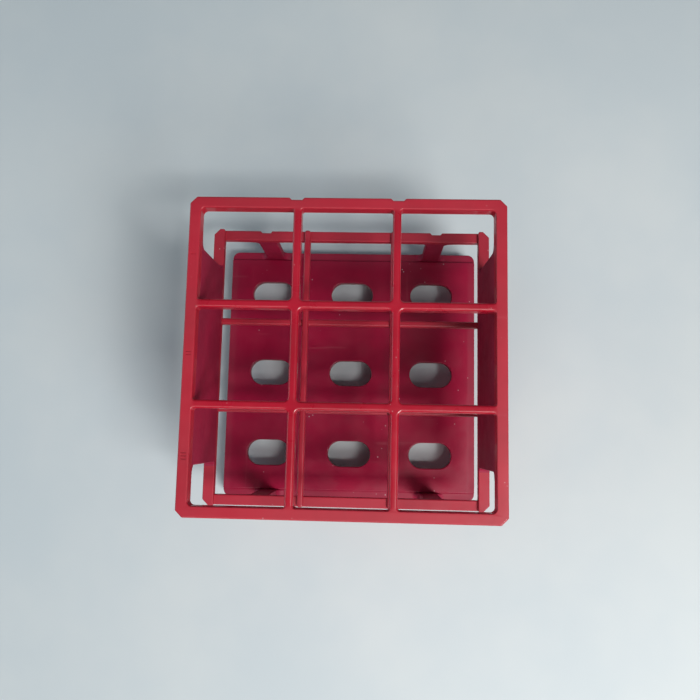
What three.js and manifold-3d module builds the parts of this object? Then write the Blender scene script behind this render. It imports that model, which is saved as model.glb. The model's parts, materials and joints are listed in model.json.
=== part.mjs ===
// Open three-tier rack for nine large test tubes, moulded in red polypropylene.
// Millimetres, +Z up. The origin is on the bench, under the middle of the rack.
// X runs along the rows, Y from the front of the rack to the back.
//
// A grid on two end walls forms the top tier. The end walls stand on the side rails
// of the middle tier, a lattice of bars lapped into each other. Four waisted legs carry
// the lattice on two runners, and the slotted base plate lies between the runners.

import * as THREE from 'three';
import { mergeVertices } from 'three/addons/utils/BufferGeometryUtils.js';
import Module from 'manifold-3d';

// ---------------------------------------------------------------- driving dimensions

const PITCH = 33; // centre to centre of the tube wells, both ways
const OVERALL = 105; // outline of the top grid, which is square
const HEIGHT = 76; // bench to the top face

const GRID_DEPTH = 5;
const RIM_WIDTH = 3.75;
const GRID_BAR_WIDTH = 2.75;
const CELL_RADIUS = 1.25;
const GRID_EDGE = 0.75; // rounding of the grid's top and bottom edges
const RIM_CORNER_CUT = 2.25;

const RAIL_TOP = 40.75; // top of the rails and dividers, which run along Y
const RAIL_DEPTH = 3.5;
const RAIL_OUTER_X = 52.25;
const RAIL_WIDTH = 4;
const RAIL_END_Y = 52;
const RAIL_CORNER_CUT = 2.25;
const LATTICE_BAR_WIDTH = 2.375;
const DIVIDER_END_Y = 51.875;
const DIVIDER_END_RADIUS = 1;

const BEAM_TOP = 39.25; // top of the beams and crossbars, which run along X
const BEAM_DEPTH = 3;
const BEAM_OUTER_Y = 51.75;
const BEAM_WIDTH = 3.75;
const BEAM_END_X = 51.75;
const CROSSBAR_END_X = 51.5;
const BAR_EDGE = 0.5; // rounding of the lattice bars' edges
const BAR_END_RADIUS = 0.75;

const LAP_SEAT = 38.25; // height where an upper bar sits on a lower one
const CLEARANCE = 0.25; // side play of every lap, tenon and tab

const WALL_THICKNESS = 3.75;
const WALL_HALF_LENGTH = 36.25;
const WALL_HEAD_FILLET = 2.5;
const WALL_FOOT_FILLET = 1.75;
const LABEL_RECESS = 1.25; // depth of the writing panel in the outer face
const LABEL_MARGIN = 4.5;
const LABEL_RADIUS = 2;

const LEG_X = 32.5;
const LEG_WAIST = 7;
const LEG_THICKNESS = 3;
const LEG_FLARE = 3;
const TENON_WIDTH = 4;
const TENON_THICKNESS = 1.5;
const TENON_LENGTH = 1.75;
const TAB_LENGTH = 8; // length along Y of the end walls' tabs
const TAB_Y = 24;

const BASE_HALF = 51; // half the outline of the base, both ways
const BASE_CORNER_RADIUS = 2.875;
const PLATE_TOP = 10.5; // stands a step above the runners
const PLATE_THICKNESS = 3;
const PLATE_EDGE = 0.25;
const SLOT_LENGTH = 17.25;
const SLOT_WIDTH = 10.25;

const RUNNER_TOP = 9.75;
const RUNNER_WIDTH = 3.5;
const RUNNER_LEDGE = 2.5; // width of the ledge that carries the base plate
const RUNNER_EDGE = 0.25;
const RUNNER_ARCH = 2; // lift of the underside between the end pads
const RUNNER_ARCH_HALF = 38;

const GATE_X = 16.875; // moulding gates in the back edge of the grid
const GATE_MOUTH = 5;
const GATE_FLOOR = 3.5;
const GATE_DEPTH = 0.75;
const BEAM_GATE_MOUTH = 4.5;
const BEAM_GATE_FLOOR = 3.25;

const MARK_LENGTH = 1.75; // row marks engraved in the left flange: one, two and three bars
const MARK_WIDTH = 0.5;
const MARK_STEP = 1;
const MARK_DEPTH = 0.25;

const ARC_STEPS = 2; // half the number of facets in a quarter circle
const SLOT_ARC_STEPS = 5;
const BEVEL_STEPS = 2;

// ---------------------------------------------------------------- derived positions

const GRID_HALF = OVERALL / 2;
const GRID_BOTTOM = HEIGHT - GRID_DEPTH;
const CELL_EDGES = [GRID_HALF - RIM_WIDTH, PITCH / 2 + GRID_BAR_WIDTH / 2, PITCH / 2 - GRID_BAR_WIDTH / 2];
const RAIL_BOTTOM = RAIL_TOP - RAIL_DEPTH;
const RAIL_INNER_X = RAIL_OUTER_X - RAIL_WIDTH;
const BEAM_BOTTOM = BEAM_TOP - BEAM_DEPTH;
const BEAM_INNER_Y = BEAM_OUTER_Y - BEAM_WIDTH;
const WALL_CENTRE_X = RAIL_OUTER_X - WALL_THICKNESS / 2;
const LEG_OUTER_Y = BEAM_INNER_Y + LEG_THICKNESS;
const LEG_CENTRE_Y = BEAM_INNER_Y + LEG_THICKNESS / 2;
const PLATE_BOTTOM = PLATE_TOP - PLATE_THICKNESS;
const RUNNER_INNER_Y = BASE_HALF - RUNNER_WIDTH;
const PLATE_HALF_Y = RUNNER_INNER_Y - CLEARANCE;
const BEYOND = 2; // how far a cutting block reaches past the face it opens

const wasm = await Module();
wasm.setup();

// ---------------------------------------------------------------- outlines

// Closed outline from corners [x, y, radius], each corner rounded by its own arc.
function outline(corners, path = new THREE.Shape()) {
  const count = corners.length;
  corners.forEach(([x, y, radius = 0], i) => {
    const here = new THREE.Vector2(x, y);
    if (radius === 0) {
      if (i === 0) path.moveTo(x, y);
      else path.lineTo(x, y);
      return;
    }
    const before = corners[(i + count - 1) % count];
    const after = corners[(i + 1) % count];
    const back = new THREE.Vector2(before[0] - x, before[1] - y).normalize();
    const ahead = new THREE.Vector2(after[0] - x, after[1] - y).normalize();
    const halfAngle = Math.acos(THREE.MathUtils.clamp(back.dot(ahead), -1, 1)) / 2;
    const middle = back.clone().add(ahead).normalize();
    const centre = here.clone().addScaledVector(middle, radius / Math.sin(halfAngle));
    const start = here.clone().addScaledVector(back, radius / Math.tan(halfAngle));
    const end = here.clone().addScaledVector(ahead, radius / Math.tan(halfAngle));
    if (i === 0) path.moveTo(start.x, start.y);
    else path.lineTo(start.x, start.y);
    const clockwise = back.x * ahead.y - back.y * ahead.x > 0;
    const startAngle = Math.atan2(start.y - centre.y, start.x - centre.x);
    const endAngle = Math.atan2(end.y - centre.y, end.x - centre.x);
    path.absarc(centre.x, centre.y, radius, startAngle, endAngle, clockwise);
  });
  path.closePath();
  return path;
}

function rectangle(x0, x1, y0, y1, radius = 0, path = new THREE.Shape()) {
  return outline([[x0, y0, radius], [x1, y0, radius], [x1, y1, radius], [x0, y1, radius]], path);
}

// Rectangle with its four corners cut off straight.
function octagon(halfX, halfY, cut, notches = []) {
  return outline([
    [-halfX, -halfY + cut], [-halfX + cut, -halfY],
    [halfX - cut, -halfY], [halfX, -halfY + cut],
    [halfX, halfY - cut], [halfX - cut, halfY],
    ...notches,
    [-halfX + cut, halfY], [-halfX, halfY - cut],
  ]);
}

// Corners of the shallow moulding gates in a back edge at height y, from right to left.
function gateNotches(xs, y, mouth, floor) {
  return xs.flatMap((x) => [
    [x + mouth / 2, y], [x + floor / 2, y - GATE_DEPTH],
    [x - floor / 2, y - GATE_DEPTH], [x - mouth / 2, y],
  ]);
}

// ---------------------------------------------------------------- solids

function toSolid(geometry) {
  geometry.deleteAttribute('normal');
  geometry.deleteAttribute('uv');
  const merged = mergeVertices(geometry);
  const vertProperties = new Float32Array(merged.attributes.position.array);
  const triVerts = new Uint32Array(merged.index.array);
  return new wasm.Manifold(new wasm.Mesh({ numProp: 3, vertProperties, triVerts }));
}

// Extrusion of a shape through a depth, its rim rounded off inside its own outline.
function extrude(shape, depth, edge = 0, curveSegments = ARC_STEPS) {
  const geometry = new THREE.ExtrudeGeometry(shape, {
    depth: depth - 2 * edge,
    curveSegments,
    bevelEnabled: edge > 0,
    bevelThickness: edge,
    bevelSize: edge,
    bevelOffset: -edge,
    bevelSegments: BEVEL_STEPS,
  });
  return geometry.translate(0, 0, edge);
}

// Plan outline raised from one height to another.
function prism(shape, bottom, top, edge, curveSegments) {
  return toSolid(extrude(shape, top - bottom, edge, curveSegments).translate(0, 0, bottom));
}

// Outline in the Y-Z plane, from x0 to x1.
function prismAlongX(shape, x0, x1, edge) {
  const turn = new THREE.Matrix4().makeBasis(
    new THREE.Vector3(0, 1, 0), new THREE.Vector3(0, 0, 1), new THREE.Vector3(1, 0, 0),
  );
  return toSolid(extrude(shape, x1 - x0, edge).applyMatrix4(turn).translate(x0, 0, 0));
}

// Outline in the X-Z plane, from y0 to y1.
function prismAlongY(shape, y0, y1, edge) {
  const turn = new THREE.Matrix4().makeBasis(
    new THREE.Vector3(1, 0, 0), new THREE.Vector3(0, 0, 1), new THREE.Vector3(0, -1, 0),
  );
  return toSolid(extrude(shape, y1 - y0, edge).applyMatrix4(turn).translate(0, y1, 0));
}

// Plain block between two corners.
function block([x0, y0, z0], [x1, y1, z1]) {
  const geometry = new THREE.BoxGeometry(x1 - x0, y1 - y0, z1 - z0);
  return toSolid(geometry.translate((x0 + x1) / 2, (y0 + y1) / 2, (z0 + z1) / 2));
}

// Block given by its centre and size in plan, and its two heights.
function post(x, y, sizeX, sizeY, bottom, top) {
  return block([x - sizeX / 2, y - sizeY / 2, bottom], [x + sizeX / 2, y + sizeY / 2, top]);
}

function cutAll(solid, cutters) {
  return cutters.reduce((rest, cutter) => rest.subtract(cutter), solid);
}

function joinAll(solid, additions) {
  return additions.reduce((whole, extra) => whole.add(extra), solid);
}

// ---------------------------------------------------------------- top tier

function rowMarks() {
  const x = -GRID_HALF + RIM_WIDTH / 2;
  return [PITCH, 0, -PITCH].flatMap((row, index) => {
    const count = index + 1;
    return Array.from({ length: count }, (_, bar) => {
      const y = row + (bar - (count - 1) / 2) * MARK_STEP;
      return post(x, y, MARK_LENGTH, MARK_WIDTH, HEIGHT - MARK_DEPTH, HEIGHT + BEYOND);
    });
  });
}

// Pockets that take an end wall's tabs, above or below the wall.
function tabPockets(side, bottom, top) {
  return [-TAB_Y, TAB_Y].map((y) => post(
    side * WALL_CENTRE_X, y, TENON_THICKNESS + 2 * CLEARANCE, TAB_LENGTH + 2 * CLEARANCE, bottom, top,
  ));
}

function topGrid() {
  const gates = gateNotches([GATE_X, -GATE_X], GRID_HALF, GATE_MOUTH, GATE_FLOOR);
  const plan = octagon(GRID_HALF, GRID_HALF, RIM_CORNER_CUT, gates);
  const [far, mid, near] = CELL_EDGES;
  const spans = [[-far, -mid], [-near, near], [mid, far]];
  for (const [x0, x1] of spans) {
    for (const [y0, y1] of spans) {
      plan.holes.push(rectangle(x0, x1, y0, y1, CELL_RADIUS, new THREE.Path()));
    }
  }
  const pocketTop = GRID_BOTTOM + TENON_LENGTH + CLEARANCE;
  const pockets = [-1, 1].flatMap((side) => tabPockets(side, GRID_BOTTOM - BEYOND, pocketTop));
  return cutAll(prism(plan, GRID_BOTTOM, HEIGHT, GRID_EDGE), [...pockets, ...rowMarks()]);
}

// Solid wall between the grid and a side rail, with a sunk writing panel outside.
function endWall(side) {
  const half = WALL_HALF_LENGTH;
  const head = half + WALL_HEAD_FILLET;
  const foot = half + WALL_FOOT_FILLET;
  const profile = outline([
    [-foot, RAIL_TOP], [foot, RAIL_TOP],
    [half, RAIL_TOP, WALL_FOOT_FILLET], [half, GRID_BOTTOM, WALL_HEAD_FILLET],
    [head, GRID_BOTTOM], [-head, GRID_BOTTOM],
    [-half, GRID_BOTTOM, WALL_HEAD_FILLET], [-half, RAIL_TOP, WALL_FOOT_FILLET],
  ]);
  const inner = RAIL_OUTER_X - WALL_THICKNESS;
  const [x0, x1] = side > 0 ? [inner, RAIL_OUTER_X] : [-RAIL_OUTER_X, -inner];
  const panel = rectangle(
    -half + LABEL_MARGIN, half - LABEL_MARGIN,
    RAIL_TOP + LABEL_MARGIN, GRID_BOTTOM - LABEL_MARGIN, LABEL_RADIUS,
  );
  const recess = RAIL_OUTER_X - LABEL_RECESS;
  const [r0, r1] = side > 0 ? [recess, RAIL_OUTER_X + BEYOND] : [-RAIL_OUTER_X - BEYOND, -recess];
  const tabs = [-TAB_Y, TAB_Y].map((y) => post(
    side * WALL_CENTRE_X, y, TENON_THICKNESS, TAB_LENGTH,
    RAIL_TOP - TENON_LENGTH, GRID_BOTTOM + TENON_LENGTH,
  ));
  const wall = prismAlongX(profile, x0, x1).subtract(prismAlongX(panel, r0, r1));
  return joinAll(wall, tabs).subtract(prismAlongX(panel, r0, r1));
}

// ---------------------------------------------------------------- middle tier

// Blocks that open the underside of a Y bar where it sits on the beams and crossbars.
function lapsFromBelow(x, width) {
  const wide = width + 2 * BEYOND;
  const low = RAIL_BOTTOM - BEYOND;
  const notch = LATTICE_BAR_WIDTH + 2 * CLEARANCE;
  const inner = [-PITCH / 2, PITCH / 2].map((y) => post(x, y, wide, notch, low, LAP_SEAT));
  const start = BEAM_INNER_Y - CLEARANCE;
  const end = RAIL_END_Y + BEYOND;
  const ends = [-1, 1].map((sign) => post(x, sign * (start + end) / 2, wide, end - start, low, LAP_SEAT));
  return [...inner, ...ends];
}

// Blocks that open the top of an X bar where the dividers and side rails sit in it.
function lapsFromAbove(y, width) {
  const wide = width + 2 * BEYOND;
  const high = BEAM_TOP + BEYOND;
  const notch = LATTICE_BAR_WIDTH + 2 * CLEARANCE;
  const inner = [-PITCH / 2, PITCH / 2].map((x) => post(x, y, notch, wide, LAP_SEAT, high));
  const start = RAIL_INNER_X - CLEARANCE;
  const end = RAIL_OUTER_X + BEYOND;
  const ends = [-1, 1].map((sign) => post(sign * (start + end) / 2, y, end - start, wide, LAP_SEAT, high));
  return [...inner, ...ends];
}

function sideRail(side) {
  const inner = side * RAIL_INNER_X;
  const outer = side * RAIL_OUTER_X;
  const cut = RAIL_END_Y - RAIL_CORNER_CUT;
  const shoulder = outer - side * RAIL_CORNER_CUT;
  const plan = outline([
    [inner, -RAIL_END_Y, BAR_END_RADIUS], [shoulder, -RAIL_END_Y], [outer, -cut],
    [outer, cut], [shoulder, RAIL_END_Y], [inner, RAIL_END_Y, BAR_END_RADIUS],
  ]);
  const pockets = tabPockets(side, RAIL_TOP - TENON_LENGTH - CLEARANCE, RAIL_TOP + BEYOND);
  const centre = (inner + outer) / 2;
  return cutAll(prism(plan, RAIL_BOTTOM, RAIL_TOP, BAR_EDGE), [
    ...pockets, ...lapsFromBelow(centre, RAIL_WIDTH),
  ]);
}

function divider(side) {
  const x = side * PITCH / 2;
  const half = LATTICE_BAR_WIDTH / 2;
  const plan = rectangle(x - half, x + half, -DIVIDER_END_Y, DIVIDER_END_Y, DIVIDER_END_RADIUS);
  return cutAll(prism(plan, RAIL_BOTTOM, RAIL_TOP, BAR_EDGE), lapsFromBelow(x, LATTICE_BAR_WIDTH));
}

// Mortise for a leg's tenon, above or below the leg.
function legMortises(side, bottom, top) {
  return [-LEG_X, LEG_X].map((x) => post(
    x, side * LEG_CENTRE_Y, TENON_WIDTH + 2 * CLEARANCE, TENON_THICKNESS + 2 * CLEARANCE, bottom, top,
  ));
}

function beam(side) {
  const centre = side * (BEAM_OUTER_Y - BEAM_WIDTH / 2);
  const gates = side > 0
    ? gateNotches([LEG_X, -LEG_X], BEAM_WIDTH / 2, BEAM_GATE_MOUTH, BEAM_GATE_FLOOR)
    : [];
  const half = BEAM_WIDTH / 2;
  const cut = RAIL_CORNER_CUT;
  const plan = outline([
    [-BEAM_END_X, -half], [BEAM_END_X, -half], [BEAM_END_X, half - cut], [BEAM_END_X - cut, half],
    ...gates,
    [-BEAM_END_X + cut, half], [-BEAM_END_X, half - cut],
  ]);
  const raised = extrude(plan, BEAM_DEPTH, BAR_EDGE).rotateZ(side > 0 ? 0 : Math.PI);
  const body = toSolid(raised.translate(0, centre, BEAM_BOTTOM));
  const mortiseTop = BEAM_BOTTOM + TENON_LENGTH + CLEARANCE;
  return cutAll(body, [
    ...lapsFromAbove(centre, BEAM_WIDTH), ...legMortises(side, BEAM_BOTTOM - BEYOND, mortiseTop),
  ]);
}

function crossbar(side) {
  const y = side * PITCH / 2;
  const half = LATTICE_BAR_WIDTH / 2;
  const plan = rectangle(-CROSSBAR_END_X, CROSSBAR_END_X, y - half, y + half, BAR_END_RADIUS);
  return cutAll(prism(plan, BEAM_BOTTOM, BEAM_TOP, BAR_EDGE), lapsFromAbove(y, LATTICE_BAR_WIDTH));
}

// ---------------------------------------------------------------- bottom tier

// Waisted strut between a runner and a beam, with a tenon at each end.
function leg(sideX, sideY) {
  const waist = LEG_WAIST / 2;
  const foot = waist + LEG_FLARE;
  const x = sideX * LEG_X;
  const profile = outline([
    [x - foot, RUNNER_TOP], [x + foot, RUNNER_TOP],
    [x + waist, RUNNER_TOP, LEG_FLARE], [x + waist, BEAM_BOTTOM, LEG_FLARE],
    [x + foot, BEAM_BOTTOM], [x - foot, BEAM_BOTTOM],
    [x - waist, BEAM_BOTTOM, LEG_FLARE], [x - waist, RUNNER_TOP, LEG_FLARE],
  ]);
  const [y0, y1] = sideY > 0 ? [BEAM_INNER_Y, LEG_OUTER_Y] : [-LEG_OUTER_Y, -BEAM_INNER_Y];
  const tenon = post(
    x, sideY * LEG_CENTRE_Y, TENON_WIDTH, TENON_THICKNESS,
    RUNNER_TOP - TENON_LENGTH, BEAM_BOTTOM + TENON_LENGTH,
  );
  return prismAlongY(profile, y0, y1).add(tenon);
}

// Runner on which the rack stands. An inner ledge carries the edge of the base plate.
function runner(side) {
  const y = (inner) => side * inner;
  const radius = BASE_CORNER_RADIUS;
  const upstand = outline([
    [-BASE_HALF, y(RUNNER_INNER_Y)], [BASE_HALF, y(RUNNER_INNER_Y)],
    [BASE_HALF, y(BASE_HALF), radius], [-BASE_HALF, y(BASE_HALF), radius],
  ]);
  const ledgeY = RUNNER_INNER_Y - RUNNER_LEDGE;
  const ledge = outline([
    [-BASE_HALF, y(ledgeY)], [BASE_HALF, y(ledgeY)],
    [BASE_HALF, y(BASE_HALF), radius], [-BASE_HALF, y(BASE_HALF), radius],
  ]);
  const whole = prism(upstand, 0, RUNNER_TOP, RUNNER_EDGE).add(prism(ledge, 0, PLATE_BOTTOM));
  const arch = post(
    0, y((ledgeY + BASE_HALF) / 2), 2 * RUNNER_ARCH_HALF, BASE_HALF - ledgeY + 2 * BEYOND,
    -BEYOND, RUNNER_ARCH,
  );
  const mortiseBottom = RUNNER_TOP - TENON_LENGTH - CLEARANCE;
  return cutAll(whole, [arch, ...legMortises(side, mortiseBottom, RUNNER_TOP + BEYOND)]);
}

function basePlate() {
  const plan = rectangle(-BASE_HALF, BASE_HALF, -PLATE_HALF_Y, PLATE_HALF_Y);
  const halfSlot = SLOT_LENGTH / 2;
  const radius = SLOT_WIDTH / 2;
  for (const column of [-1, 0, 1]) {
    for (const row of [-1, 0, 1]) {
      const slot = new THREE.Path();
      const x = column * PITCH;
      const y = row * PITCH;
      slot.moveTo(x - halfSlot + radius, y - radius);
      slot.lineTo(x + halfSlot - radius, y - radius);
      slot.absarc(x + halfSlot - radius, y, radius, -Math.PI / 2, Math.PI / 2, false);
      slot.lineTo(x - halfSlot + radius, y + radius);
      slot.absarc(x - halfSlot + radius, y, radius, Math.PI / 2, 3 * Math.PI / 2, false);
      plan.holes.push(slot);
    }
  }
  return prism(plan, PLATE_BOTTOM, PLATE_TOP, PLATE_EDGE, SLOT_ARC_STEPS);
}

// ---------------------------------------------------------------- assembly

const TOP_RED = 0xb4243a;
const LATTICE_RED = 0xa31c33;
const WALL_RED = 0x8f1830;
const BASE_RED = 0x98182c;

// One named piece in its own semi-gloss polypropylene.
function piece(name, solid, colour, roughness) {
  const mesh = solid.getMesh();
  const indexed = new THREE.BufferGeometry();
  indexed.setAttribute('position', new THREE.BufferAttribute(mesh.vertProperties, 3));
  indexed.setIndex(new THREE.BufferAttribute(mesh.triVerts, 1));
  indexed.computeVertexNormals();
  const material = new THREE.MeshStandardMaterial({
    color: colour, roughness, metalness: 0, flatShading: true,
  });
  const part = new THREE.Mesh(indexed, material);
  part.name = name;
  return part;
}

const SIDES = [['left', -1], ['right', 1]];
const ENDS = [['front', -1], ['back', 1]];

const topTier = new THREE.Group();
topTier.add(piece('top_grid', topGrid(), TOP_RED, 0.38));
for (const [name, side] of SIDES) {
  topTier.add(piece(`end_wall_${name}`, endWall(side), WALL_RED, 0.45));
}

const middleTier = new THREE.Group();
for (const [name, side] of SIDES) {
  middleTier.add(piece(`side_rail_${name}`, sideRail(side), LATTICE_RED, 0.4));
  middleTier.add(piece(`divider_bar_${name}`, divider(side), LATTICE_RED, 0.4));
}
for (const [name, side] of ENDS) {
  middleTier.add(piece(`beam_${name}`, beam(side), LATTICE_RED, 0.4));
  middleTier.add(piece(`crossbar_${name}`, crossbar(side), LATTICE_RED, 0.4));
}

const bottomTier = new THREE.Group();
for (const [end, sideY] of ENDS) {
  for (const [name, sideX] of SIDES) {
    bottomTier.add(piece(`leg_${end}_${name}`, leg(sideX, sideY), LATTICE_RED, 0.42));
  }
  bottomTier.add(piece(`runner_${end}`, runner(sideY), BASE_RED, 0.42));
}
bottomTier.add(piece('base_plate', basePlate(), BASE_RED, 0.42));

const rack = new THREE.Group();
rack.add(topTier, middleTier, bottomTier);

export default rack;
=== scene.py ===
import json
import math

import bmesh
import bpy
from mathutils import Matrix, Vector
from mathutils.geometry import tessellate_polygon


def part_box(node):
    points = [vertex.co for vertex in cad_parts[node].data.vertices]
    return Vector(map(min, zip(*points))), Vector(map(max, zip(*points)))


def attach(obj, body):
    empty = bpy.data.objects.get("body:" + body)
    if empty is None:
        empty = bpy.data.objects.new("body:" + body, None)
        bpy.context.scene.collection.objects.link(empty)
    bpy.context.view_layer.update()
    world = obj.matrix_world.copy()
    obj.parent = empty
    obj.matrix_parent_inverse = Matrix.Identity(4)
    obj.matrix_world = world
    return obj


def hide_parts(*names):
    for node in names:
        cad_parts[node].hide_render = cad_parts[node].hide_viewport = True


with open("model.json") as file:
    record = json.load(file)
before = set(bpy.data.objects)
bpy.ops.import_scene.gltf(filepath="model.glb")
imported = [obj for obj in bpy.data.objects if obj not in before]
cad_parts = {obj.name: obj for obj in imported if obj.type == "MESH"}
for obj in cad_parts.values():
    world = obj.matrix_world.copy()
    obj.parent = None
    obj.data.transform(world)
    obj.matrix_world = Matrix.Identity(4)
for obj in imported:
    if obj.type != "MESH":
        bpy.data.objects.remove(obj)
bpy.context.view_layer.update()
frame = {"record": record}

MM = 0.001

# ------------------------------------------------------------------ sizes, millimetres
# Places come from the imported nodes; these are the sizes that a node's box can't tell.

RIM_WIDTH = 3.75
GRID_BAR_WIDTH = 2.75
CELL_RADII = (1.3, 0.8, 1.5)  # bar to bar, bar to rim, the rim's own corners
RIM_CORNER_CUT = 2.25
RIM_CORNER_RADIUS = 0.8
RIM_EDGE = 0.5
CELL_TOP_EDGE = (0.95, 0.8)  # crown of the bars, wider than it is deep
RIM_SHARE = 0.4  # width of the rounding along the rim's inner edge, over the bars'
CELL_BOTTOM_EDGE = 0.6

RAIL_CORNER_CUT = 2.25  # the beams' corners are cut the same
RAIL_CUT_RADIUS = 0.4
RAIL_INNER_RADIUS = 0.6
RAIL_EDGE = 0.35
DIVIDER_EDGE = 0.75
DIVIDER_END_RADIUS = 1.0
BEAM_EDGE = 0.4
CROSSBAR_EDGE = 0.7
CROSSBAR_END_RADIUS = 0.9
BAR_UNDERSIDE_EDGE = 0.4

WALL_HEAD_FILLET = 2.5
WALL_FOOT_FILLET = 1.75
WALL_EDGE = 0.4
LABEL_RECESS = 1.25
LABEL_MARGIN = 4.5
LABEL_RADIUS = 2.0
LABEL_EDGE = 0.3

LEG_WAIST = 7.0
LEG_FLARE = 3.0
LEG_EDGE = 0.5
TENON_LENGTH = 1.75

BASE_CORNER_RADIUS = 2.875
RUNNER_WIDTH = 3.5
RUNNER_EDGE = 0.35
LEDGE_TOP_EDGE = 0.1  # under the plate, out of sight
ARCH_HEIGHT = 2.0
ARCH_HALF_LENGTH = 38.0
ARCH_RADIUS = 0.5
ARCH_EDGES = (0.1, 0.3)
CUT_OVERRUN = 1.0  # how far a cutting tool stands out past what it cuts
PLATE_CORNER_RADIUS = 0.4
PLATE_EDGE = 0.4
SLOT_LENGTH = 17.25
SLOT_WIDTH = 10.25
SLOT_EDGES = (0.3, 0.45)

GRID_GATE_X = 16.875
GRID_GATE = (5.0, 3.5)  # width at the mouth and at the floor
BEAM_GATE = (4.5, 3.25)
GATE_DEPTH = 0.75
GATE_RADIUS = 0.3

MARK_LENGTH = 1.75
MARK_WIDTH = 0.5
MARK_STEP = 1.0
MARK_DEPTH = 0.25
MARK_RADIUS = 0.2
MARK_EDGE = 0.08

ROOT = 0.5  # how far a moulded-on piece runs on inside its neighbour
HEAD_ROOT = 1.2  # the same for the head of an end wall, inside the grid
SINK = 0.02  # keeps buried faces off the surface they lie under

ARC_STEPS = 8  # segments in a round corner of an outline
EDGE_STEPS = 5  # segments in a rounded edge
SHARP_ANGLE = math.radians(35)


# ------------------------------------------------------------------ outlines

def ring(corners, inset):
    """Points of a closed anticlockwise outline, moved inwards by inset.

    A corner is (x, y, radius, share); the share tells how much of the inset the edge after it takes.
    Each corner becomes the same number of points at every inset, so rings can be lofted.
    """
    count = len(corners)
    points = [Vector(corner[:2]) for corner in corners]
    radii = [corner[2] if len(corner) > 2 else 0.0 for corner in corners]
    shares = [corner[3] if len(corner) > 3 else 1.0 for corner in corners]
    result = []
    for i in range(count):
        ahead = (points[(i + 1) % count] - points[i]).normalized()
        back = (points[i - 1] - points[i]).normalized()
        turn = ahead.x * back.y - ahead.y * back.x
        convex = turn > 0
        half = math.acos(max(-1.0, min(1.0, back.dot(ahead)))) / 2
        middle = (back + ahead).normalized()
        inset_back, inset_ahead = inset * shares[i - 1], inset * shares[i]
        corner = points[i] + (ahead * inset_back + back * inset_ahead) / turn
        change = (inset_back + inset_ahead) / 2
        radius = max(0.0, radii[i] - change if convex else radii[i] + change) if radii[i] else 0.0
        centre = corner + middle * (radius / math.sin(half))
        start = corner + back * (radius / math.tan(half)) - centre
        sweep = (math.pi - 2 * half) * (1 if convex else -1)
        for k in range(ARC_STEPS + 1):
            angle = sweep * k / ARC_STEPS
            turned = Vector((
                start.x * math.cos(angle) - start.y * math.sin(angle),
                start.x * math.sin(angle) + start.y * math.cos(angle),
            ))
            result.append(centre + turned)
    return result


def rectangle(x0, x1, y0, y1, radius=0.0):
    return [(x0, y0, radius), (x1, y0, radius), (x1, y1, radius), (x0, y1, radius)]


def gates(xs, y, size):
    """Corners of shallow moulding gates in a back edge, from right to left."""
    mouth, floor = size
    floor_y = y - GATE_DEPTH
    corners = []
    for x in xs:
        corners.append((x + mouth / 2, y, GATE_RADIUS))
        corners.append((x + floor / 2, floor_y, GATE_RADIUS))
        corners.append((x - floor / 2, floor_y, GATE_RADIUS))
        corners.append((x - mouth / 2, y, GATE_RADIUS))
    return corners


def edge_size(edge):
    """(width, height) of an edge rounding, given as one radius or as a pair."""
    return edge if isinstance(edge, tuple) else (edge, edge)


def rounded_levels(low, high, low_edge, high_edge):
    """(inset, height) pairs from the bottom face to the top face, with rounded edges."""
    levels = []
    width, rise = edge_size(low_edge)
    for k in range(EDGE_STEPS + 1):
        angle = math.pi / 2 * k / EDGE_STEPS
        levels.append((width * (1 - math.sin(angle)), low + rise * (1 - math.cos(angle))))
    width, rise = edge_size(high_edge)
    for k in range(EDGE_STEPS + 1):
        angle = math.pi / 2 * k / EDGE_STEPS
        levels.append((width * (1 - math.cos(angle)), high - rise * (1 - math.sin(angle))))
    return levels


# ------------------------------------------------------------------ solids

PLAN = Matrix.Identity(4)  # outline in X-Y, raised along Z


def facing_x(side):
    """Outline given as (y, z), raised along X away from the middle of the rack."""
    return Matrix(((0, 0, side, 0), (1, 0, 0, 0), (0, 1, 0, 0), (0, 0, 0, 1)))


def facing_y(side):
    """Outline given as (x, z), raised along Y away from the middle of the rack."""
    return Matrix(((1, 0, 0, 0), (0, 0, side, 0), (0, 1, 0, 0), (0, 0, 0, 1)))


def loft(bm, corners, levels, grow):
    """Wall through one ring per level. Returns its first and last rings of vertices."""
    rings = []
    for inset, height in levels:
        points = ring(corners, -inset if grow else inset)
        rings.append([bm.verts.new((p.x, p.y, height)) for p in points])
    for lower, upper in zip(rings, rings[1:]):
        for i in range(len(lower)):
            j = (i + 1) % len(lower)
            bm.faces.new((lower[i], lower[j], upper[j], upper[i]))
    return rings[0], rings[-1]


def cap(bm, loops, material_index=0):
    """Flat face bounded by the first loop, with the other loops as holes."""
    vertices = [vertex for loop in loops for vertex in loop]
    outlines = [[vertex.co for vertex in loop] for loop in loops]
    for triangle in tessellate_polygon(outlines):
        corners = [vertices[i] for i in triangle]
        if (corners[1].co - corners[0].co).cross(corners[2].co - corners[0].co).length > 1e-9:
            face = bm.faces.new(corners)
            face.material_index = material_index


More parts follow.
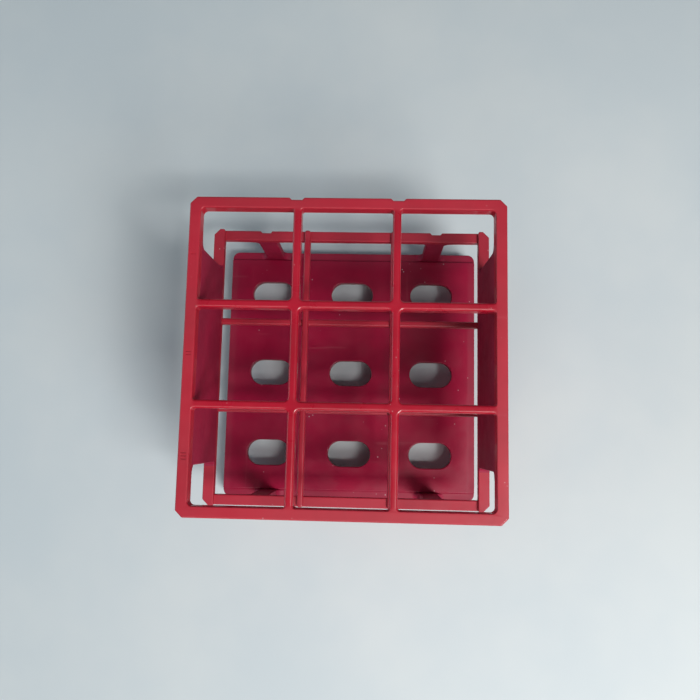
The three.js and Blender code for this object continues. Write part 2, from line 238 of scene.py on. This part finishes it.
def solid(name, placing, outer, low, high, edges, holes=(), hole_edges=None, pockets=()):
    """Closed prism in millimetres with rounded edges, holes through it and pockets in its top face.

    edges and hole_edges are (bottom, top) roundings. A pocket is (corners, depth, edge, floor material).
    """
    bm = bmesh.new()
    outer_low, outer_high = loft(bm, outer, rounded_levels(low, high, *edges), grow=False)
    lows, highs = [outer_low], [outer_high]
    for hole in holes:
        hole_low, hole_high = loft(bm, hole, rounded_levels(low, high, *hole_edges), grow=True)
        lows.append(hole_low)
        highs.append(hole_high)
    for corners, depth, edge, floor_material in pockets:
        levels = rounded_levels(high - depth, high, 0.0, edge)[EDGE_STEPS:]
        floor, mouth = loft(bm, corners, levels, grow=True)
        cap(bm, [floor], floor_material)
        highs.append(mouth)
    cap(bm, lows)
    cap(bm, highs)
    bmesh.ops.remove_doubles(bm, verts=bm.verts, dist=1e-5)
    bmesh.ops.dissolve_degenerate(bm, edges=bm.edges, dist=1e-6)
    bm.transform(Matrix.Scale(MM, 4) @ placing)
    bmesh.ops.recalc_face_normals(bm, faces=bm.faces)
    mesh = bpy.data.meshes.new(name)
    bm.to_mesh(mesh)
    bm.free()
    piece = bpy.data.objects.new(name, mesh)
    bpy.context.scene.collection.objects.link(piece)
    return piece


def boolean(piece, tool, operation):
    """Cuts or joins with another object, which is kept, and leaves one plain mesh."""
    modifier = piece.modifiers.new("boolean", "BOOLEAN")
    modifier.operation = operation
    modifier.solver = "EXACT"
    modifier.object = tool
    graph = bpy.context.evaluated_depsgraph_get()
    result = bpy.data.meshes.new_from_object(piece.evaluated_get(graph))
    piece.modifiers.clear()
    old = piece.data
    piece.data = result
    result.name = piece.name
    bpy.data.meshes.remove(old)


def discard(piece):
    mesh = piece.data
    bpy.data.objects.remove(piece)
    bpy.data.meshes.remove(mesh)


def smooth(piece):
    """Smooth shading that keeps corners crisp and broad faces flat."""
    bm = bmesh.new()
    bm.from_mesh(piece.data)
    bmesh.ops.remove_doubles(bm, verts=bm.verts, dist=1e-8)
    for face in bm.faces:
        face.smooth = True
    for edge in bm.edges:
        edge.smooth = len(edge.link_faces) == 2 and edge.calc_face_angle(0.0) < SHARP_ANGLE
    bm.to_mesh(piece.data)
    bm.free()
    modifier = piece.modifiers.new("weighted_normal", "WEIGHTED_NORMAL")
    modifier.keep_sharp = True
    modifier.weight = 100


# ------------------------------------------------------------------ materials

class Nodes:
    """Short hand for a material's node tree, in the rack's own coordinates."""

    def __init__(self, name):
        self.material = bpy.data.materials.new(name)
        self.material.use_nodes = True
        self.tree = self.material.node_tree
        self.tree.nodes.clear()
        self.output = self.tree.nodes.new("ShaderNodeOutputMaterial")
        self.shader = self.tree.nodes.new("ShaderNodeBsdfPrincipled")
        self.link(self.shader.outputs["BSDF"], self.output.inputs["Surface"])
        self.place = self.tree.nodes.new("ShaderNodeTexCoord").outputs["Object"]

    def link(self, source, target):
        self.tree.links.new(source, target)

    def stretched(self, scale):
        """The rack's coordinates, scaled axis by axis; a small scale draws a pattern out."""
        mapping = self.tree.nodes.new("ShaderNodeMapping")
        mapping.inputs["Scale"].default_value = scale
        self.link(self.place, mapping.inputs["Vector"])
        return mapping.outputs["Vector"]

    def noise(self, scale, detail=2.0, roughness=0.5, vector=None, distortion=0.0):
        node = self.tree.nodes.new("ShaderNodeTexNoise")
        node.inputs["Scale"].default_value = scale
        node.inputs["Detail"].default_value = detail
        node.inputs["Roughness"].default_value = roughness
        node.inputs["Distortion"].default_value = distortion
        self.link(vector or self.place, node.inputs["Vector"])
        return node.outputs["Fac"]

    def spots(self, scale):
        """Distance to the nearest of many scattered points."""
        node = self.tree.nodes.new("ShaderNodeTexVoronoi")
        node.inputs["Scale"].default_value = scale
        node.inputs["Randomness"].default_value = 1.0
        self.link(self.place, node.inputs["Vector"])
        return node.outputs["Distance"]

    def ramp(self, source, low, high, to_low=0.0, to_high=1.0):
        """Smooth step from to_low to to_high as the source goes from low to high."""
        node = self.tree.nodes.new("ShaderNodeMapRange")
        node.interpolation_type = "SMOOTHSTEP"
        node.inputs["From Min"].default_value = low
        node.inputs["From Max"].default_value = high
        node.inputs["To Min"].default_value = to_low
        node.inputs["To Max"].default_value = to_high
        self.link(source, node.inputs["Value"])
        return node.outputs["Result"]

    def maths(self, operation, first, second):
        node = self.tree.nodes.new("ShaderNodeMath")
        node.operation = operation
        for socket, value in zip(node.inputs, (first, second)):
            if isinstance(value, (int, float)):
                socket.default_value = value
            else:
                self.link(value, socket)
        return node.outputs["Value"]

    def outskirts(self, start, end):
        """Nought in the middle of the rack, one along its four sides."""
        split = self.tree.nodes.new("ShaderNodeSeparateXYZ")
        self.link(self.place, split.inputs["Vector"])
        across = self.maths("ABSOLUTE", split.outputs["X"], 0.0)
        along = self.maths("ABSOLUTE", split.outputs["Y"], 0.0)
        return self.ramp(self.maths("MAXIMUM", across, along), start, end)

    def mix(self, amount, first, second):
        node = self.tree.nodes.new("ShaderNodeMix")
        node.data_type = "RGBA"
        sockets = {s.identifier: s for s in node.inputs}
        for key, value in (("Factor_Float", amount), ("A_Color", first), ("B_Color", second)):
            if isinstance(value, (int, float, tuple)):
                sockets[key].default_value = value
            else:
                self.link(value, sockets[key])
        return next(s for s in node.outputs if s.identifier == "Result_Color")

    def bump(self, height, strength, distance, under=None):
        node = self.tree.nodes.new("ShaderNodeBump")
        node.inputs["Strength"].default_value = strength
        node.inputs["Distance"].default_value = distance
        self.link(height, node.inputs["Height"])
        if under is not None:
            self.link(under, node.inputs["Normal"])
        return node.outputs["Normal"]


PLASTIC_IOR = 1.49
CLOUD_SHARE = 0.65  # how much of the tone comes from round clouds; flow lines make up the rest
# The same band also marks where the painted sheen is mixed into the colour, besides the rubbed
# roughness.
OUTER_BAND = (0.0475, 0.0492)  # metres from the middle over which the rubbed outer faces begin
# Painted sheen: the pale pink that the outermost faces are mixed towards, in place of reflected light.
RIM_SHEEN_COLOUR = (0.62, 0.075, 0.100, 1.0)
SCRATCH_COLOUR = (0.66, 0.16, 0.20, 1.0)
DUST_COLOUR = (0.86, 0.80, 0.80, 1.0)


def red_plastic(name, deep, bright, roughness, dust, skin, rim_sheen=0.0):
    """Semi-gloss moulded polypropylene: flow clouds, fine grain, scuffs and settled dust.

    skin is how much of the surface keeps the mould's polish over the duller body. The last argument
    sets the painted sheen: how far the outermost faces, which are also rubbed rougher, are paled
    towards a pink that stands in for reflected light.
    """
    n = Nodes(name)
    clouds = n.maths("MULTIPLY", n.noise(38.0, 4.0, 0.6, distortion=0.4), CLOUD_SHARE)
    drawn = n.noise(55.0, 3.0, 0.55, n.stretched((0.35, 1.0, 1.0)))
    flow = n.maths("MULTIPLY", drawn, 1.0 - CLOUD_SHARE)
    colour = n.mix(n.ramp(n.maths("ADD", clouds, flow), 0.36, 0.64), deep, bright)
    grain = n.noise(2600.0, 2.0, 0.6)
    ripple = n.noise(170.0, 2.0, 0.5)
    scratch_a = n.noise(420.0, 2.0, 0.5, n.stretched((0.06, 1.0, 1.0)))
    scratch_b = n.noise(420.0, 2.0, 0.5, n.stretched((1.0, 0.05, 1.0)))
    scratches = n.maths("MAXIMUM", n.ramp(scratch_a, 0.71, 0.76), n.ramp(scratch_b, 0.72, 0.77))
    patches = n.ramp(n.noise(70.0, 2.0, 0.5), 0.52, 0.66)
    specks = n.maths("MULTIPLY", n.ramp(n.spots(330.0), 0.09, 0.05), patches)
    wear = n.ramp(n.noise(26.0, 4.0, 0.6), 0.2, 0.8, 0.5, 1.0)
    outer_wear_and_sheen = n.maths("MULTIPLY", n.outskirts(*OUTER_BAND), wear)
    # Painted sheen: the outermost faces are paled towards the sheen colour as if they caught reflected
    # light.
    colour = n.mix(n.maths("MULTIPLY", outer_wear_and_sheen, rim_sheen), colour, RIM_SHEEN_COLOUR)
    colour = n.mix(n.maths("MULTIPLY", scratches, 0.07), colour, SCRATCH_COLOUR)
    colour = n.mix(n.maths("MULTIPLY", specks, dust), colour, DUST_COLOUR)
    n.link(colour, n.shader.inputs["Base Color"])
    worn = n.maths("MULTIPLY", n.ramp(n.noise(120.0, 3.0, 0.6), 0.35, 0.7), 0.10)
    rough = n.maths("ADD", n.maths("ADD", worn, roughness), n.maths("MULTIPLY", scratches, 0.12))
    rough = n.maths("ADD", rough, n.maths("MULTIPLY", outer_wear_and_sheen, 0.24))
    rough = n.maths("ADD", rough, n.maths("MULTIPLY", specks, 0.3 * dust))
    n.link(rough, n.shader.inputs["Roughness"])
    n.shader.inputs["IOR"].default_value = PLASTIC_IOR
    n.shader.inputs["Coat Weight"].default_value = skin
    n.shader.inputs["Coat Roughness"].default_value = 0.08
    n.shader.inputs["Coat IOR"].default_value = PLASTIC_IOR
    fine = n.bump(grain, 0.12, 0.00004)
    wavy = n.bump(ripple, 0.25, 0.00008, fine)
    n.link(n.bump(n.maths("MULTIPLY", scratches, -1.0), 0.08, 0.00003, wavy), n.shader.inputs["Normal"])
    return n.material


def frosted_panel(name):
    """Fine eroded finish of the writing panels on the end walls."""
    n = Nodes(name)
    colour = n.mix(n.noise(90.0, 3.0, 0.6), (0.40, 0.030, 0.055, 1.0), (0.47, 0.045, 0.075, 1.0))
    n.link(colour, n.shader.inputs["Base Color"])
    n.link(n.ramp(n.noise(600.0, 2.0, 0.6), 0.3, 0.7, 0.58, 0.70), n.shader.inputs["Roughness"])
    n.shader.inputs["IOR"].default_value = PLASTIC_IOR
    n.link(n.bump(n.noise(5200.0, 2.0, 0.7), 0.35, 0.00005), n.shader.inputs["Normal"])
    return n.material


# One plastic in several tunings: the middle tier's paler, pinker red is painted sheen, the bottom tier's
# darker, bluer red is painted shade, and the top tier adds painted sheen along its rim.
TIERS = {
    "top_tier": red_plastic(
        "moulded_red_top", deep=(0.385, 0.004, 0.019, 1), bright=(0.485, 0.006, 0.026, 1),
        roughness=0.27, dust=0.30, skin=0.30, rim_sheen=0.18),
    "middle_tier": red_plastic(
        "moulded_red_middle_painted_sheen", deep=(0.375, 0.011, 0.030, 1), bright=(0.465, 0.015, 0.038, 1),
        roughness=0.32, dust=0.40, skin=0.20),
    "bottom_tier": red_plastic(
        "moulded_red_bottom_painted_shade", deep=(0.245, 0.001, 0.027, 1), bright=(0.325, 0.002, 0.034, 1),
        roughness=0.28, dust=0.70, skin=0.0),
}
# Darker, bluer copy of the red for the end walls and legs: painted shade of their upright faces.
UPRIGHT_SHADED_RED = red_plastic(  # end walls and legs
    "moulded_red_walls_painted_shade", deep=(0.270, 0.003, 0.035, 1), bright=(0.345, 0.004, 0.042, 1),
    roughness=0.46, dust=0.15, skin=0.0)
PANEL_FINISH = frosted_panel("frosted_writing_panel")
SLOT_OF = {entry["node"]: entry["material_slot"] for entry in frame["record"]["subparts"]}


def show(piece, node, materials=None):
    """Gives a finished piece its look and lets it stand for its CAD node."""
    slot = SLOT_OF[node]
    piece.data.materials.clear()
    for material in materials or (TIERS[slot],):
        piece.data.materials.append(material)
    smooth(piece)
    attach(piece, "root")
    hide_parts(node)


def box_mm(node):
    low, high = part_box(node)
    return low / MM, high / MM


# ------------------------------------------------------------------ camera

CAMERA_PLACE = Vector((9.6, -25.9, 301.0)) * MM
CAMERA_TURN = (-0.1223, -0.0342, -0.0179)  # about the camera's own X, Y and Z, radians
FOCAL_SHARE = 1.0062286  # focal length over the picture's width


def make_camera():
    data = bpy.data.cameras.new("camera")
    data.sensor_width = 36.0
    data.lens = data.sensor_width * FOCAL_SHARE
    data.clip_start = 0.01
    data.clip_end = 20.0
    camera = bpy.data.objects.new("camera", data)
    turn = Matrix.Identity(4)
    for angle, axis in zip(CAMERA_TURN, "XYZ"):
        turn = turn @ Matrix.Rotation(-angle, 4, axis)
    camera.matrix_world = Matrix.Translation(CAMERA_PLACE) @ turn
    bpy.context.scene.collection.objects.link(camera)
    bpy.context.scene.camera = camera


make_camera()

# ------------------------------------------------------------------ middle tier sizes used all over

divider_low, divider_high = box_mm("divider_bar_right")
PITCH = divider_low.x + divider_high.x
SIDES = (("left", -1), ("right", 1))
ENDS = (("front", -1), ("back", 1))


# ------------------------------------------------------------------ top tier

def row_marks(high):
    """Pockets in the left flange that number the rows: one, two and three bars."""
    x = -high.x + RIM_WIDTH / 2
    half_x, half_y = MARK_LENGTH / 2, MARK_WIDTH / 2
    marks = []
    for row in range(3):
        for bar in range(row + 1):
            y = (1 - row) * PITCH + (bar - row / 2) * MARK_STEP
            corners = rectangle(x - half_x, x + half_x, y - half_y, y + half_y, MARK_RADIUS)
            marks.append((corners, MARK_DEPTH, MARK_EDGE, 0))
    return marks


def make_top_grid():
    low, high = box_mm("top_grid")
    half, cut, radius = high.x, RIM_CORNER_CUT, RIM_CORNER_RADIUS
    outer = [
        (-half, -half + cut, radius), (-half + cut, -half, radius),
        (half - cut, -half, radius), (half, -half + cut, radius),
        (half, half - cut, radius), (half - cut, half, radius),
        *gates((GRID_GATE_X, -GRID_GATE_X), half, GRID_GATE),
        (-half + cut, half, radius), (-half, half - cut, radius),
    ]
    far = half - RIM_WIDTH
    mid, near = PITCH / 2 + GRID_BAR_WIDTH / 2, PITCH / 2 - GRID_BAR_WIDTH / 2
    spans = ((-far, -mid), (-near, near), (mid, far))

    def corner(x, y, share):
        """Fillet between two bars, between a bar and the rim, or in the rim's own corner."""
        on_rim = (abs(x) == far) + (abs(y) == far)
        return (x, y, CELL_RADII[on_rim], share)

    cells = [
        [
            corner(x0, y0, RIM_SHARE if y0 == -far else 1.0),
            corner(x1, y0, RIM_SHARE if x1 == far else 1.0),
            corner(x1, y1, RIM_SHARE if y1 == far else 1.0),
            corner(x0, y1, RIM_SHARE if x0 == -far else 1.0),
        ]
        for x0, x1 in spans for y0, y1 in spans
    ]
    grid = solid(
        "grid", PLAN, outer, low.z, high.z, (RIM_EDGE, RIM_EDGE),
        cells, (CELL_BOTTOM_EDGE, CELL_TOP_EDGE), row_marks(high),
    )
    show(grid, "top_grid")


def make_end_wall(name, side):
    """Wall from a side rail up to the grid, whose inner face leans out to meet the rim."""
    low, high = box_mm(f"end_wall_{name}")
    rail_low, rail_high = box_mm(f"side_rail_{name}")
    ground, ceiling = rail_high.z - SINK, box_mm("top_grid")[0].z + SINK
    head = high.y
    half = head - WALL_HEAD_FILLET
    foot = half + WALL_FOOT_FILLET
    root_foot, root_head = foot + WALL_EDGE, head + WALL_EDGE
    outer = [
        (-root_foot, ground - ROOT), (root_foot, ground - ROOT), (root_foot, ground),
        (half, ground, WALL_FOOT_FILLET), (half, ceiling, WALL_HEAD_FILLET),
        (root_head, ceiling), (root_head, ceiling + HEAD_ROOT),
        (-root_head, ceiling + HEAD_ROOT), (-root_head, ceiling),
        (-half, ceiling, WALL_HEAD_FILLET), (-half, ground, WALL_FOOT_FILLET),
        (-root_foot, ground),
    ]
    panel = rectangle(
        -half + LABEL_MARGIN, half - LABEL_MARGIN,
        ground + LABEL_MARGIN, ceiling - LABEL_MARGIN, LABEL_RADIUS,
    )
    inner_x = min(abs(rail_low.x), abs(rail_high.x)) - SINK
    outer_x = max(abs(low.x), abs(high.x)) - SINK
    wall = solid(
        f"wall_{name}", facing_x(side), outer, inner_x, outer_x, (WALL_EDGE, WALL_EDGE),
        pockets=[(panel, LABEL_RECESS, LABEL_EDGE, 1)],
    )
    lean = box_mm("top_grid")[1].x - RIM_WIDTH - SINK - inner_x
    for vertex in wall.data.vertices:
        climb = (vertex.co.z / MM - ground) / (ceiling - ground)
        depth = (outer_x - abs(vertex.co.x) / MM) / (outer_x - inner_x)
        vertex.co.x += side * lean * climb * depth * MM
    show(wall, f"end_wall_{name}", (UPRIGHT_SHADED_RED, PANEL_FINISH))


# ------------------------------------------------------------------ middle tier

def make_rail(name, side):
    low, high = box_mm(f"side_rail_{name}")
    inner, outer = sorted((abs(low.x), abs(high.x)))
    cut = RAIL_CORNER_CUT
    plan = [
        (inner, low.y, RAIL_INNER_RADIUS), (outer - cut, low.y, RAIL_CUT_RADIUS),
        (outer, low.y + cut, RAIL_CUT_RADIUS), (outer, high.y - cut, RAIL_CUT_RADIUS),
        (outer - cut, high.y, RAIL_CUT_RADIUS), (inner, high.y, RAIL_INNER_RADIUS),
    ]
    placing = Matrix.Diagonal((side, 1, 1, 1))
    return solid(f"rail_{name}", placing, plan, low.z, high.z, (BAR_UNDERSIDE_EDGE, RAIL_EDGE))


def make_divider(name):
    low, high = box_mm(f"divider_bar_{name}")
    plan = rectangle(low.x, high.x, low.y, high.y, DIVIDER_END_RADIUS)
    return solid(f"divider_{name}", PLAN, plan, low.z, high.z, (BAR_UNDERSIDE_EDGE, DIVIDER_EDGE))


def make_beam(name, side):
    low, high = box_mm(f"beam_{name}")
    inner, outer = sorted((abs(low.y), abs(high.y)))
    leg_low, leg_high = box_mm("leg_back_right")
    leg_x = (leg_low.x + leg_high.x) / 2
    notches = gates((leg_x, -leg_x), outer, BEAM_GATE) if side > 0 else []
    cut = RAIL_CORNER_CUT
    plan = [
        (low.x, inner), (high.x, inner),
        (high.x, outer - cut, RAIL_CUT_RADIUS), (high.x - cut, outer, RAIL_CUT_RADIUS),
        *notches,
        (low.x + cut, outer, RAIL_CUT_RADIUS), (low.x, outer - cut, RAIL_CUT_RADIUS),
    ]
    placing = Matrix.Diagonal((1, side, 1, 1))
    return solid(f"beam_{name}_bar", placing, plan, low.z, high.z, (BAR_UNDERSIDE_EDGE, BEAM_EDGE))


def make_crossbar(name):
    low, high = box_mm(f"crossbar_{name}")
    plan = rectangle(low.x, high.x, low.y, high.y, CROSSBAR_END_RADIUS)
    edges = (BAR_UNDERSIDE_EDGE, CROSSBAR_EDGE)
    return solid(f"crossbar_{name}_bar", PLAN, plan, low.z, high.z, edges)


def make_lattice():
    """Rails and dividers lie across the beams and crossbars, which are notched to fit them."""
    upper = {f"side_rail_{name}": make_rail(name, side) for name, side in SIDES}
    upper.update({f"divider_bar_{name}": make_divider(name) for name, _ in SIDES})
    lower = {f"beam_{name}": make_beam(name, side) for name, side in ENDS}
    lower.update({f"crossbar_{name}": make_crossbar(name) for name, _ in ENDS})
    for bar in lower.values():
        for crossing in upper.values():
            boolean(bar, crossing, "DIFFERENCE")
    for node, bar in {**upper, **lower}.items():
        show(bar, node)


# ------------------------------------------------------------------ bottom tier

def make_leg(end, side_y, name):
    """Strut that flares into the beam above it and the runner below it."""
    low, high = box_mm(f"leg_{end}_{name}")
    inner, outer = sorted((abs(low.y), abs(high.y)))
    bottom, top = low.z + TENON_LENGTH - SINK, high.z - TENON_LENGTH + SINK
    x, waist = (low.x + high.x) / 2, LEG_WAIST / 2
    foot = waist + LEG_FLARE + LEG_EDGE
    outline = [
        (x - foot, bottom - ROOT), (x + foot, bottom - ROOT), (x + foot, bottom),
        (x + waist, bottom, LEG_FLARE), (x + waist, top, LEG_FLARE),
        (x + foot, top), (x + foot, top + ROOT), (x - foot, top + ROOT), (x - foot, top),
        (x - waist, top, LEG_FLARE), (x - waist, bottom, LEG_FLARE), (x - foot, bottom),
    ]
    leg = solid(
        f"leg_{end}_{name}_strut", facing_y(side_y), outline,
        inner + SINK, outer - SINK, (LEG_EDGE, LEG_EDGE))
    show(leg, f"leg_{end}_{name}", (UPRIGHT_SHADED_RED,))


def make_runner(name, side):
    """Runner with a ledge under the plate and an arch below, standing on a pad at each end."""
    low, high = box_mm(f"runner_{name}")
    ledge_y, outer = sorted((abs(low.y), abs(high.y)))
    upstand_y = outer - RUNNER_WIDTH
    radius = BASE_CORNER_RADIUS
    placing = Matrix.Diagonal((1, side, 1, 1))

    def plan(inner_y):
        return [(low.x, inner_y), (high.x, inner_y), (high.x, outer, radius), (low.x, outer, radius)]

    runner = solid(
        f"runner_{name}_rail", placing, plan(upstand_y), low.z, high.z, (RUNNER_EDGE, RUNNER_EDGE))
    ledge_top = box_mm("base_plate")[0].z + SINK
    ledge = solid("ledge", placing, plan(ledge_y), low.z, ledge_top, (RUNNER_EDGE, LEDGE_TOP_EDGE))
    opening = rectangle(
        -ARCH_HALF_LENGTH, ARCH_HALF_LENGTH, ledge_y - CUT_OVERRUN, outer + CUT_OVERRUN, ARCH_RADIUS)
    arch = solid(
        "arch", placing, opening, low.z - CUT_OVERRUN, low.z + ARCH_HEIGHT, ARCH_EDGES)
    boolean(runner, ledge, "UNION")
    boolean(runner, arch, "DIFFERENCE")
    discard(ledge)
    discard(arch)
    show(runner, f"runner_{name}")


def make_base_plate():
    low, high = box_mm("base_plate")
    outer = rectangle(low.x, high.x, low.y - ROOT, high.y + ROOT, PLATE_CORNER_RADIUS)
    half_x, half_y = SLOT_LENGTH / 2, SLOT_WIDTH / 2
    wells = (-PITCH, 0.0, PITCH)
    slots = [
        rectangle(x - half_x, x + half_x, y - half_y, y + half_y, half_y)
        for x in wells for y in wells
    ]
    plate = solid(
        "drain_plate", PLAN, outer, low.z, high.z, (PLATE_EDGE, PLATE_EDGE), slots, SLOT_EDGES)
    show(plate, "base_plate")


make_top_grid()
for side_name, side_sign in SIDES:
    make_end_wall(side_name, side_sign)
make_lattice()
for end_name, end_sign in ENDS:
    for side_name, _ in SIDES:
        make_leg(end_name, end_sign, side_name)
    make_runner(end_name, end_sign)
make_base_plate()


# ------------------------------------------------------------------ floor and light

FLOOR_REACH = 3.0  # metres from the middle to each side


def floor_material():
    n = Nodes("pale_floor")
    tone = n.ramp(n.noise(9.0, 4.0, 0.6), 0.35, 0.65)
    colour = n.mix(tone, (0.610, 0.670, 0.695, 1.0), (0.665, 0.710, 0.720, 1.0))
    n.link(colour, n.shader.inputs["Base Color"])
    n.shader.inputs["Roughness"].default_value = 0.65
    n.link(n.bump(n.noise(420.0, 3.0, 0.6), 0.08, 0.0002), n.shader.inputs["Normal"])
    return n.material


def make_floor():
    bm = bmesh.new()
    bmesh.ops.create_grid(bm, x_segments=8, y_segments=8, size=FLOOR_REACH)
    mesh = bpy.data.meshes.new("floor")
    bm.to_mesh(mesh)
    bm.free()
    floor = bpy.data.objects.new("floor", mesh)
    mesh.materials.append(floor_material())
    bpy.context.scene.collection.objects.link(floor)


def panel_light(name, size, power, colour):
    """Rectangular light, not yet placed."""
    data = bpy.data.lights.new(name, "AREA")
    data.shape = "RECTANGLE"
    data.size, data.size_y = size
    data.energy = power
    data.color = colour
    light = bpy.data.objects.new(name, data)
    bpy.context.scene.collection.objects.link(light)
    return light


def aimed_light(name, distance, zenith, azimuth, size, power, colour):
    """Panel that faces the rack; angles in degrees, azimuth from +X towards +Y."""
    light = panel_light(name, size, power, colour)
    tilt, turn = math.radians(zenith), math.radians(azimuth)
    direction = Vector((
        math.sin(tilt) * math.cos(turn), math.sin(tilt) * math.sin(turn), math.cos(tilt)))
    light.location = direction * distance
    light.rotation_euler = direction.to_track_quat("Z", "Y").to_euler()


def hung_light(name, place, size, power, colour):
    """Panel whose long side stays along X, tipped until it faces the rack's middle in Y."""
    light = panel_light(name, size, power, colour)
    light.location = place
    light.rotation_euler = (math.atan2(-place[1], place[2]), 0.0, 0.0)


# Glow of the ceiling at the sine of its elevation: dark low down, bright high up, dark overhead.
CEILING = ((0.60, 0.065), (0.78, 0.10), (0.88, 0.26), (0.965, 0.30), (0.990, 0.01))
CEILING_TINT = (0.70, 0.88, 1.0)
CEILING_LEAN = 0.9  # how much brighter it is towards +X, the window's side
DAYLIGHT = (1.0, 0.985, 0.965)
LAMPLIGHT = (1.0, 0.985, 0.97)
WALL_LIGHT = (0.74, 0.89, 1.0)


def make_ceiling():
    """World that glows by height above the horizon and leans towards +X."""
    world = bpy.data.worlds.new("studio")
    world.use_nodes = True
    tree = world.node_tree
    background = tree.nodes["Background"]
    direction = tree.nodes.new("ShaderNodeTexCoord").outputs["Generated"]
    split = tree.nodes.new("ShaderNodeSeparateXYZ")
    tree.links.new(direction, split.inputs["Vector"])
    ramp = tree.nodes.new("ShaderNodeValToRGB")
    tree.links.new(split.outputs["Z"], ramp.inputs["Fac"])
    lean = tree.nodes.new("ShaderNodeMath")
    lean.operation = "MULTIPLY_ADD"
    lean.inputs[1].default_value, lean.inputs[2].default_value = CEILING_LEAN, 1.0
    tree.links.new(split.outputs["X"], lean.inputs[0])
    tree.links.new(lean.outputs["Value"], background.inputs["Strength"])
    elements = ramp.color_ramp.elements
    elements[0].position, elements[1].position = 0.0, 1.0
    for height, glow in CEILING:
        elements.new(height).color = (*(glow * c for c in CEILING_TINT), 1.0)
    for element, (_, glow) in ((elements[0], CEILING[0]), (elements[-1], CEILING[-1])):
        element.color = (*(glow * c for c in CEILING_TINT), 1.0)
    tree.links.new(ramp.outputs["Color"], background.inputs["Color"])
    bpy.context.scene.world = world


def make_lights():
    """Window, front light and lamp from the front and right, and a far wall from the left."""
    aimed_light("window", 0.80, 44, -50, (0.34, 0.26), 3.1, DAYLIGHT)
    aimed_light("front", 0.90, 40, -103, (0.36, 0.26), 0.9, DAYLIGHT)
    aimed_light("far_wall", 0.90, 66, 172, (0.70, 0.50), 1.9, WALL_LIGHT)
    hung_light("lamp", (0.34, -0.272, 0.80), (0.30, 0.12), 3.2, LAMPLIGHT)


make_floor()
make_ceiling()
make_lights()
bpy.context.scene.view_settings.view_transform = "Standard"
